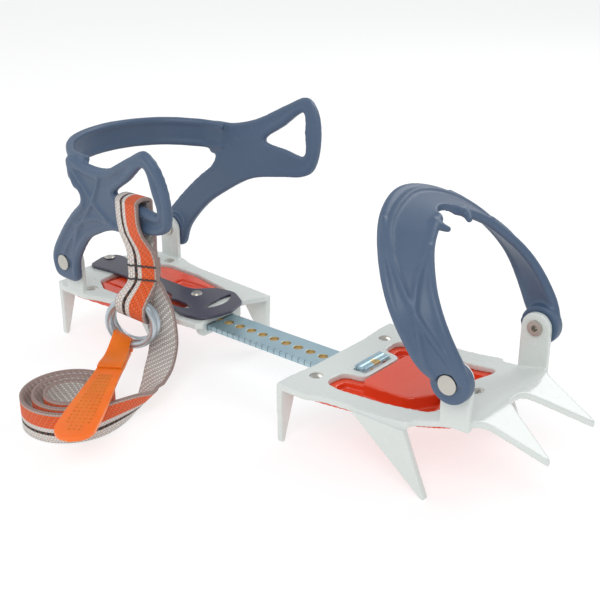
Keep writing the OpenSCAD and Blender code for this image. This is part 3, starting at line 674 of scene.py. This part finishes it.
def carved(name, bm, cuts, grain, passes, finish_used):
    """Fuses bm, takes the shapes in cuts out of it, and fuses again."""
    solid = bpy.data.objects.new(name, as_mesh(name, bm))
    cutter = bpy.data.objects.new("cuts", as_mesh("cuts", cuts))
    for made in (solid, cutter):
        bpy.context.scene.collection.objects.link(made)
    for made, fineness in ((solid, grain), (cutter, 0.5)):
        fuse = made.modifiers.new("Fuse", "REMESH")
        fuse.mode, fuse.voxel_size = "VOXEL", fineness
    cut = solid.modifiers.new("Cut", "BOOLEAN")
    cut.operation, cut.object, cut.solver = "DIFFERENCE", cutter, "EXACT"
    mesh = bpy.data.meshes.new_from_object(solid.evaluated_get(bpy.context.evaluated_depsgraph_get()))
    for made in (solid, cutter):
        bpy.data.objects.remove(made)
    return fused(name, mesh, grain, passes, finish_used)


toe_bail = make_toe_bail()
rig.replaces(toe_bail, "toe_bail")
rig.slot(toe_bail, "harness")
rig.ride(toe_bail, "toe_bail")


# Heel harness --------------------------------------------------------------------------------
def inset(loop, depth):
    """A closed flat loop moved inward."""
    count = len(loop)
    area = sum(loop[i - 1].x * p.y - p.x * loop[i - 1].y for i, p in enumerate(loop))
    turn = depth if area > 0 else -depth
    runs = [(loop[(i + 1) % count] - loop[i - 1]).normalized() for i in range(count)]
    return [p + Vector((-run.y, run.x, 0)) * turn for p, run in zip(loop, runs)]


SIDE = [(-8.5, -8.5), (0, -10.2), (8.5, -8.5), (12, 3), (23, 17), (36, 27), (56, 38.5), (78, 43.2),
        (92, 45.6), (99.5, 51), (101.8, 64), (98.8, 79), (90.5, 87), (79, 82.5), (58, 72),
        (40, 67), (24, 65.7),
        (22, 57), (24, 49), (28.5, 47.2), (26, 41), (17, 33.5), (6.5, 23.5), (-6, 9), (-10, 0)]
EYELET = [(89, 79.3), (76, 70.2), (63.5, 61), (79, 58.2), (92.6, 56.8), (92, 68)]


def make_heel_harness():
    bm = bmesh.new()
    for side in (-1, 1):
        fall = DROOP if side < 0 else 0

        def sag(x, h, fall=fall):
            k = min(max((x - JUNCTION) / 35, 0), 1)
            return x - 0.8 * fall * k, h - fall * k

        def in_place(x, h, depth, side=side, sag=sag):
            """A point x along, h up and depth outward on one leaning side."""
            x, h = sag(x, h)
            y = -depth * math.cos(LEAN) - (h + 8.5) * math.sin(LEAN) - HARNESS_INNER
            z = -depth * math.sin(LEAN) + (h + 8.5) * math.cos(LEAN) - 8.5
            return Vector((HARNESS_PIVOT[0] + x, -side * y, HARNESS_PIVOT[1] + z))

        def ring_line(points, steps=5):
            points = [Vector((x, h, 0)) for x, h in points]
            closed = smooth_line([points[-1]] + points + points[:2], steps)
            return closed[steps:-steps - 1]

        outline, hole = ring_line(SIDE), ring_line(EYELET, 6)
        flat = bmesh.new()
        for loop in (outline, hole):
            made = [flat.verts.new((p.x, p.y, 0)) for p in loop]
            for a, b in zip(made, made[1:] + made[:1]):
                flat.edges.new((a, b))
        bmesh.ops.triangle_fill(flat, edges=flat.edges[:], use_beauty=True)
        bmesh.ops.solidify(flat, geom=flat.faces[:], thickness=3.0)
        lowest = min(v.co.z for v in flat.verts)
        for v in flat.verts:
            v.co = in_place(v.co.x, v.co.y, v.co.z - lowest + 0.5)
        bmesh.ops.recalc_face_normals(flat, faces=flat.faces)
        plate = as_mesh("plate", flat)
        bm.from_mesh(plate)
        inward = inset(outline, 2.3)
        add_rod(bm, [in_place(p.x, p.y, 2.5) for p in inward], 2.3, closed=True)
        add_rod(bm, [in_place(p.x, p.y, 2.5) for p in inset(hole, -2.3)], 2.35, closed=True)
        ribs = [((20, 25), (32, 38), (42, 50), (50, 62), (54, 69)), ((26, 60), (34, 54), (44, 46), (56, 42)),
                ((24, 61), (34, 62.5), (46, 64), (54, 68)), ((18, 26), (30, 33), (44, 40), (58, 43)),
                ((0, 4), (8, 14), (16, 22), (24, 30)), ((9, 4), (12, 12), (16, 18), (22, 28))]
        for rib in ribs:
            line = smooth_line([Vector((x, h, 0)) for x, h in rib], 8)
            add_rod(bm, [in_place(p.x, p.y, 3.6) for p in line], 1.25)
        place = facing_out(HARNESS_PIVOT, side * HARNESS_INNER, side)
        add_disc(bm, 8.6, 0, 4.9, place)

    tilt = math.radians(4)

    def on_band(u, v, w):
        """A point on the rear band: u round the heel, v up and w outward."""
        a = math.pi * (0.5 + u)
        out = 3.2 * w - 1.6
        x, y = (BAND_RX - 2 + out) * math.cos(a), (BAND_RY - 1.5 + out) * math.sin(a)
        h = 15.6 * v
        z = -x * math.sin(tilt) + h * math.cos(tilt)
        near_end = 1 - ease(min(u, 1 - u) / 0.16)
        y += math.copysign(2.9 * near_end, y) if abs(y) > 1 else 0
        lead = 7 * (1 - ease(min(u, 1 - u) / 0.07))
        return Vector((HARNESS_PIVOT[0] + JUNCTION + x * math.cos(tilt) + h * math.sin(tilt) + lead, y,
                       HARNESS_PIVOT[1] + 49.6 + z))

    band = as_mesh("band", bend_slab(slab(72, 6), on_band))
    bm.from_mesh(band)
    for v in (0.13, 0.87):
        add_rod(bm, [on_band(i / 60, v, 0.5) for i in range(61)], 2.35)
    cuts = bmesh.new()
    for side in (-1, 1):
        place = facing_out(HARNESS_PIVOT, side * HARNESS_INNER, side)
        add_disc(cuts, 2.7, -10, 14, place)
        add_disc(cuts, 4.9, 5.0, 14, place)
    block = bmesh.ops.create_cube(cuts, size=1.0)
    bmesh.ops.scale(cuts, verts=block["verts"], vec=(30, 2 * HARNESS_INNER, 26))
    bmesh.ops.translate(cuts, verts=block["verts"], vec=(HARNESS_PIVOT[0], 0, HARNESS_PIVOT[1] - 3))
    return carved("heel_harness_moulding", bm, cuts, 0.6, 3, blue)


heel_harness = make_heel_harness()
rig.replaces(heel_harness, "heel_harness")
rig.slot(heel_harness, "harness")
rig.ride(heel_harness, "heel_harness")

# Sheet metal and trays -----------------------------------------------------------------------
softened("toe_plate", "toe_unit", 0.5, 7, paint)
softened("heel_plate", "heel_unit", 0.5, 7, paint)
softened("toe_antiball_plate", "toe_unit", 0.5, 5, red)
softened("heel_antiball_plate", "heel_unit", 0.5, 5, red)
softened("linking_bar", "toe_unit", 0.42, 3, bar_zinc())
softened("size_lever", "size_lever", 0.36, 3, navy_lacquer())
for name in ("toe_antiball_rivets", "heel_antiball_rivets", "toe_bail_rivets", "heel_harness_rivets",
             "lever_pivot_rivet", "locking_pin", "pull_tab_rivet", "ring_front", "ring_rear"):
    part = frame["nodes"][name]
    part.data.materials.clear()
    part.data.materials.append(ring_zinc if name.startswith("ring") else nickel)
    for face in part.data.polygons:
        face.use_smooth = True


# Strap ---------------------------------------------------------------------------------------
def twist(z):
    """How far the webbing has turned towards the rings at height z."""
    return math.radians(SWING * ease((92 - z) / 30))


def strap_at(n, w, z):
    """A point of the sewn loop: n outward across its layers, w along the width, z up."""
    a = twist(z)
    x = -57.5 + 2.5 * ease((94 - z) / 24) - 5.4 * ease((62 - z) / 16)
    y = -47.3 + 1.3 * ease((94 - z) / 24) - 2.8 * ease((62 - z) / 16)
    return Vector((x + w * math.cos(a) + n * math.sin(a), y + w * math.sin(a) - n * math.cos(a),
                   z - w * math.tan(math.radians(SLANT)) * ease((60 - z) / 14)))


def gap(z):
    """Half the distance between the loop's two layers at height z."""
    return 0.9 + 3.6 * ease((z - 72) / 14) if z > 72 else 0.9 + 4.45 * ease((58 - z) / 12)


def make_loop():
    """The loop of webbing from the eyelet to the rings."""
    section = [Vector((4.5 * math.cos(math.radians(a)), LOOP_TOP + 2 * math.sin(math.radians(a)), 0))
               for a in range(0, 181, 15)]
    heights = [97, 94, 91, 88, 84, 80, 76, 72, 68, 64, 60, 57, 54, 51, 48]
    section += [Vector((-gap(z), z, 0)) for z in heights]
    section += [Vector((5.35 * math.cos(math.radians(a)), LOOP_LOW + 5.35 * math.sin(math.radians(a)), 0))
                for a in range(180, 361, 15)]
    section += [Vector((gap(z), z, 0)) for z in reversed(heights)]
    closed = section + section[:1]
    total = sum((b - a).length for a, b in zip(closed, closed[1:]))

    def place(u, v, w):
        t = u * len(section)
        i = int(t) % len(section)
        j = (i + 1) % len(section)
        p = section[i].lerp(section[j], t - int(t))
        run = (section[(j + 1) % len(section)] - section[i - 1]).normalized()
        out = Vector((run.y, -run.x, 0)) * ((w - 0.5) * WEB_THICK)
        q = p + out
        return strap_at(q.x, (v - 0.5) * WEB_WIDTH, q.y)

    bm = slab(len(section) * 2, 8)
    uv = bm.loops.layers.uv.active
    for face in bm.faces:
        for corner in face.loops:
            corner[uv].uv = (corner.vert.co.y, corner.vert.co.x * total * MM)
    ends = [f for f in bm.faces if abs(f.normal.x) > 0.5]
    bmesh.ops.delete(bm, geom=ends, context="FACES")
    for v in bm.verts:
        v.co = place(v.co.x, v.co.y, v.co.z)
    bmesh.ops.remove_doubles(bm, verts=bm.verts, dist=0.02)
    bmesh.ops.recalc_face_normals(bm, faces=bm.faces)
    return keep("strap_loop_webbing", as_mesh("loop", bm), web_face, web_back)


loop = make_loop()
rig.replaces(loop, "strap_loop")
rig.slot(loop, "webbing")
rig.ride(loop, "heel_harness")


def make_stitches():
    """Two rows of thread on both faces of the loop."""
    bm = bmesh.new()
    for z in (67, 60):
        for n in (1.95, -3.9):
            for i in range(9):
                w = -6.6 + 13.2 * i / 8.0
                slope = 0.35 if i % 2 else -0.35
                line = [strap_at(n + 0.28 * math.sin(math.pi * k), w + 1.7 * (k - 0.5), z + slope * (k - 0.5))
                        for k in (0, 0.25, 0.5, 0.75, 1)]
                add_rod(bm, line, 0.42)
    return keep("strap_stitches", as_mesh("stitches", bm), black_thread)


stitches = make_stitches()
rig.replaces(stitches, "strap_stitching")
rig.slot(stitches, "thread")
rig.ride(stitches, "heel_harness")

# The free end: sewn behind the loop, down to the ground and round into its coil
HANGING = [((-57, -41.9, 54.5), (0.88, 0.48, 0)), ((-57.1, -39.7, 49.8), (0.88, 0.48, 0)),
           ((-56.7, -36.9, 42.4), (0.87, 0.5, 0)), ((-54.9, -36.6, 35.4), (0.87, 0.5, 0)),
           ((-53.7, -36.7, 28.4), (0.88, 0.48, 0)), ((-53.3, -37.1, 22.4), (0.87, 0.49, 0.03)),
           ((-51.6, -40, 17.4), (0.87, 0.48, 0.05)),
           ((-47.9, -45.8, 13.8), (0.87, 0.47, 0.1)), ((-45.2, -51.4, 10.1), (0.93, 0.26, 0.26)),
           ((-43.4, -55.8, 7.5), (0.91, 0.13, 0.39)), ((-41, -59.6, 6.4), (0.82, 0.06, 0.57)),
           ((-38.8, -62.6, 6), (0.74, 0, 0.67)), ((-37.4, -66.2, 6.2), (0.65, -0.07, 0.75)),
           ((-36.2, -72.1, 7), (0.47, -0.1, 0.87)), ((-35.3, -79.2, 7.6), (0.26, -0.09, 0.96))]
TURNS = 2.75
COIL_START, COIL_END = 24.9, 9.9


def strap_route():
    """The middle of the webbing and the direction of its orange edge, from the stitches to the cut end."""
    route = [(strap_at(-2.75, 0, z), Vector((math.cos(twist(z)), math.sin(twist(z)), 0)))
             for z in (71, 67, 63, 58)]
    route += [(Vector(p), Vector(edge)) for p, edge in HANGING]
    count = 60
    for i in range(count + 1):
        t = i / count
        a = math.radians(6) - 2 * math.pi * TURNS * t
        r = COIL_START + (COIL_END - COIL_START) * t
        spot = COIL + Vector((r * math.cos(a), r * math.sin(a), WEB_WIDTH / 2 + 0.1))
        route.append((spot, Vector((0, 0, 1))))
    middle = smooth_line([p for p, edge in route], 4)
    edges = smooth_line([edge for p, edge in route], 4)
    return middle, edges


def make_strap():
    middle, edges = strap_route()
    travelled = [0.0]
    for a, b in zip(middle, middle[1:]):
        travelled.append(travelled[-1] + (b - a).length)
    last = len(middle) - 1

    def place(u, v, w):
        i = round(u * last)
        run = (middle[min(i + 1, last)] - middle[max(i - 1, 0)]).normalized()
        edge = (edges[i] - run * run.dot(edges[i])).normalized()
        face = run.cross(edge)
        return middle[i] + edge * (v - 0.5) * WEB_WIDTH + face * (0.5 - w) * WEB_THICK

    bm = slab(last, 8)
    uv = bm.loops.layers.uv.active
    for face in bm.faces:
        for corner in face.loops:
            corner[uv].uv = (corner.vert.co.y, travelled[round(corner.vert.co.x * last)] * MM)
    strap = keep("strap_webbing", as_mesh("strap", bend_slab(bm, place)), web_face, web_back)
    return strap, [p * MM for p in middle], travelled[-1] * MM


strap, strap_line, strap_length = make_strap()
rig.replaces(strap, "strap_tail", "strap_coil")
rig.slot(strap, "webbing")
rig.blend(strap, "heel_harness", "heel_unit", start=(-0.055, -0.044, 0.056), end=(-0.044, -0.053, 0.010))
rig.cord(strap, exit=strap_line[0], length=round(strap_length, 3), diameter=WEB_WIDTH * MM, far_end="bare",
        stiffness="limp", lay="coiled", path=strap_line)


# Pull tab ------------------------------------------------------------------------------------
def make_tab():
    """The rubber tab: folded round the front ring, riveted, and dotted towards its free end."""
    ha, sw = math.radians(25), math.radians(SWING)
    hang = RING + 1.9 * Vector((math.sin(sw), -math.cos(sw), 0)) - RING_RADIUS * Vector(
        (math.sin(ha) * math.cos(sw), math.sin(ha) * math.sin(sw), math.cos(ha)))
    wire = Vector((math.cos(ha) * math.cos(sw), math.cos(ha) * math.sin(sw), -math.sin(ha)))
    turn, fall = math.radians(-56), math.radians(2.4)
    ahead = Vector((math.cos(turn) * math.cos(fall), math.sin(turn) * math.cos(fall), -math.sin(fall)))
    across = Vector((-math.sin(turn), math.cos(turn), 0))
    up = ahead.cross(across) * -1 if ahead.cross(across).z < 0 else ahead.cross(across)
    length = 87.0

    def half_width(d):
        wide = 4.9 + 1.4 * ease(d / 22) + 2.85 * ease((d - 20) / 55)
        left = length - d
        return wide if left > 9 else max(math.sqrt(max(81 - (9 - left) ** 2, 0.0)) * wide / 9, 0.25)

    def main_leaf(u, v, w):
        d = 1.0 + (length - 1.0) * u
        k = ease(d / 14)
        side = wire.lerp(across, k).normalized()
        crown = 0.25 * (1 - (2 * v - 1) ** 2)
        centre = hang + ahead * d - up * 2.8
        return centre + side * (2 * v - 1) * half_width(d) + up * ((w - 0.5) * 2.0 + crown * w)

    bm = bend_slab(slab(70, 12), main_leaf)
    core = hang + (RING - hang).normalized() * 0.48

    def fold(u, v, w):
        """The strip round the wire: under it, behind it, over it and down on to the leaf."""
        if u < 0.6:
            a = math.radians(-90 - 200 * u / 0.6)
            r = 2.4 + 1.5 * w
            return core + ahead * math.cos(a) * r + up * math.sin(a) * r + wire * (2 * v - 1) * 4.9
        d = (u - 0.6) / 0.4
        a = math.radians(-290)
        start = ahead * math.cos(a) * 3.15 + up * math.sin(a) * 3.15
        stop = ahead * 25 - up * 1.35
        mid = start.lerp(stop, d) - up * (1.9 * math.sin(math.pi * min(d * 1.15, 1)))
        side = wire.lerp(across, ease(d * 1.6)).normalized()
        tipped = up * math.sin(math.radians(70)) + ahead * math.cos(math.radians(70))
        lean = tipped.lerp(up, ease(d * 2)).normalized()
        half = 4.9 + 1.2 * ease(d)
        return hang.lerp(core, 1 - d) + mid + lean * (w - 0.5) * 1.5 + side * (2 * v - 1) * half

    strip = as_mesh("fold", bend_slab(slab(48, 8), fold))
    bm.from_mesh(strip)
    for row in range(17):
        d = 32 + 3.0 * row
        for column in range(6):
            s = (column - 2.5) / 2.5 + (0.2 if row % 2 else -0.2)
            if abs(s) > 1.15 or (row > 14 and abs(s) > 0.7):
                continue
            spot = hang + ahead * d + across * s * (half_width(d) - 3.0) - up * 1.72
            made = bmesh.ops.create_icosphere(bm, subdivisions=1, radius=0.75)
            bmesh.ops.scale(bm, verts=made["verts"], vec=(1, 1, 0.7))
            bmesh.ops.translate(bm, verts=made["verts"], vec=spot)
    tab = keep("pull_tab_rubber", as_mesh("tab", bm), rubber)
    edge = tab.modifiers.new("Edge", "BEVEL")
    edge.width, edge.segments, edge.limit_method, edge.angle_limit = 0.5 * MM, 2, "ANGLE", math.radians(50)
    return tab


tab = make_tab()
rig.replaces(tab, "pull_tab")
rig.slot(tab, "tab")
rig.ride(tab, "pull_tab")


# Floor, lights and camera --------------------------------------------------------------------
def area_light(name, where, aim, power, size):
    lamp = bpy.data.lights.new(name, "AREA")
    lamp.energy, lamp.size = power, size
    holder = bpy.data.objects.new(name, lamp)
    holder.location = where
    holder.rotation_euler = (Vector(aim) - Vector(where)).to_track_quat("-Z", "Y").to_euler()
    bpy.context.scene.collection.objects.link(holder)


floor_bm = bmesh.new()
bmesh.ops.create_grid(floor_bm, x_segments=1, y_segments=1, size=6.0)
floor = bpy.data.objects.new("floor", as_mesh("floor", floor_bm))
floor.location = (0, 0, -0.0004)
bpy.context.scene.collection.objects.link(floor)
pale, _, pale_bsdf = finish("Pale floor", Base_Color=(0.38, 0.38, 0.38, 1), Roughness=0.9,
                                  Emission_Color=(1, 1, 1, 1), Emission_Strength=0.66)
pale_bsdf.inputs["Specular IOR Level"].default_value = 0.1
floor.data.materials.append(pale)
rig.stage(floor)

middle = Vector((0, -0.02, 0.05))
area_light("key", (0.45, -0.75, 0.95), middle, 5.6, 0.7)
area_light("fill", (-0.9, -0.5, 0.7), middle, 2.4, 1.0)
area_light("back", (0.1, 0.95, 0.9), middle, 5.0, 0.7)
world = bpy.data.worlds.new("Studio")
world.use_nodes = True
world.node_tree.nodes["Background"].inputs[0].default_value = (0.97, 0.98, 1.0, 1)
world.node_tree.nodes["Background"].inputs[1].default_value = 0.62
bpy.context.scene.world = world
bpy.context.scene.view_settings.view_transform = "Standard"

lens = bpy.data.cameras.new("view")
lens.sensor_width, lens.lens = 36.0, 59.77
camera = bpy.data.objects.new("view", lens)
camera.location = Vector((298.6, -345.3, 236.9)) * MM
camera.rotation_euler = Vector((-0.5971, 0.7058, -0.3812)).to_track_quat("-Z", "Y").to_euler()
bpy.context.scene.collection.objects.link(camera)
bpy.context.scene.camera = camera

bpy.context.view_layer.update()
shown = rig.bounds()
with open("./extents.json", "w") as sizes:
    json.dump({"cad": [list(corner) for corner in cad_box], "visual": [list(corner) for corner in shown]}, sizes)
